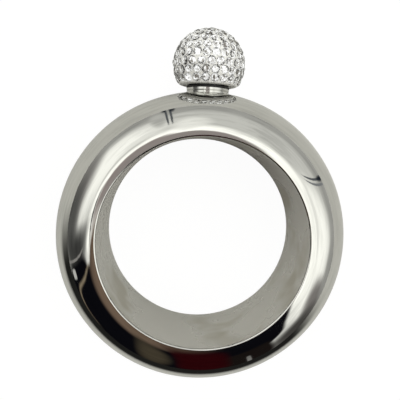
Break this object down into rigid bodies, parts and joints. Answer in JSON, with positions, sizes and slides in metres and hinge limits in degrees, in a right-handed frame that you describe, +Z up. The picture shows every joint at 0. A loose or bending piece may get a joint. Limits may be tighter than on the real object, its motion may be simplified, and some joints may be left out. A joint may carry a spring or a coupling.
{
  "type": "bracelet hip flask",
  "caption": "Hollow ring-shaped steel flask worn as a bangle, with a satin inner band, a short threaded neck and a ball-shaped screw cap set with clear crystals.",
  "frame": {"origin": "on the surface the flask lies on, under the middle of its outline", "axes": "+Z up along the ring's axis, +Y along the neck towards the cap, +X to the right of the neck"},
  "size_m": [0.1, 0.1214, 0.036],
  "materials": {
    "polished_steel": "mirror polished",
    "satin_steel": "satin",
    "turned_steel": "turned",
    "black_rubber": "matte",
    "silicone": "satin",
    "core_plastic": "matte",
    "crystal_clay": "pearly",
    "crystal": "faceted, foil backed"
  },
  "bodies": {
    "flask": {"front_shell": "polished_steel", "rear_shell": "polished_steel", "inner_band": "satin_steel", "neck": "polished_steel", "neck_washer": "black_rubber"},
    "cap_seal": {"cap_seal": "silicone"},
    "cap": {"cap_liner": "turned_steel", "cap_core": "core_plastic", "crystal_layer": "crystal_clay"}
  },
  "joints": [
    {"name": "cap_rise", "type": "slide", "parent": "flask", "child": "cap_seal", "axis": [0, 1, 0], "range_m": [0, 0.006]},
    {"name": "cap_turn", "type": "hinge", "parent": "cap_seal", "child": "cap", "pos_m": [0, 0.04135, 0.018], "axis": [0, 1, 0], "range_deg": [0, 1440]}
  ],
  "couplings": [
    {"joint": "cap_rise", "follows": "cap_turn", "m_per_rad": 0.00023873}
  ]
}
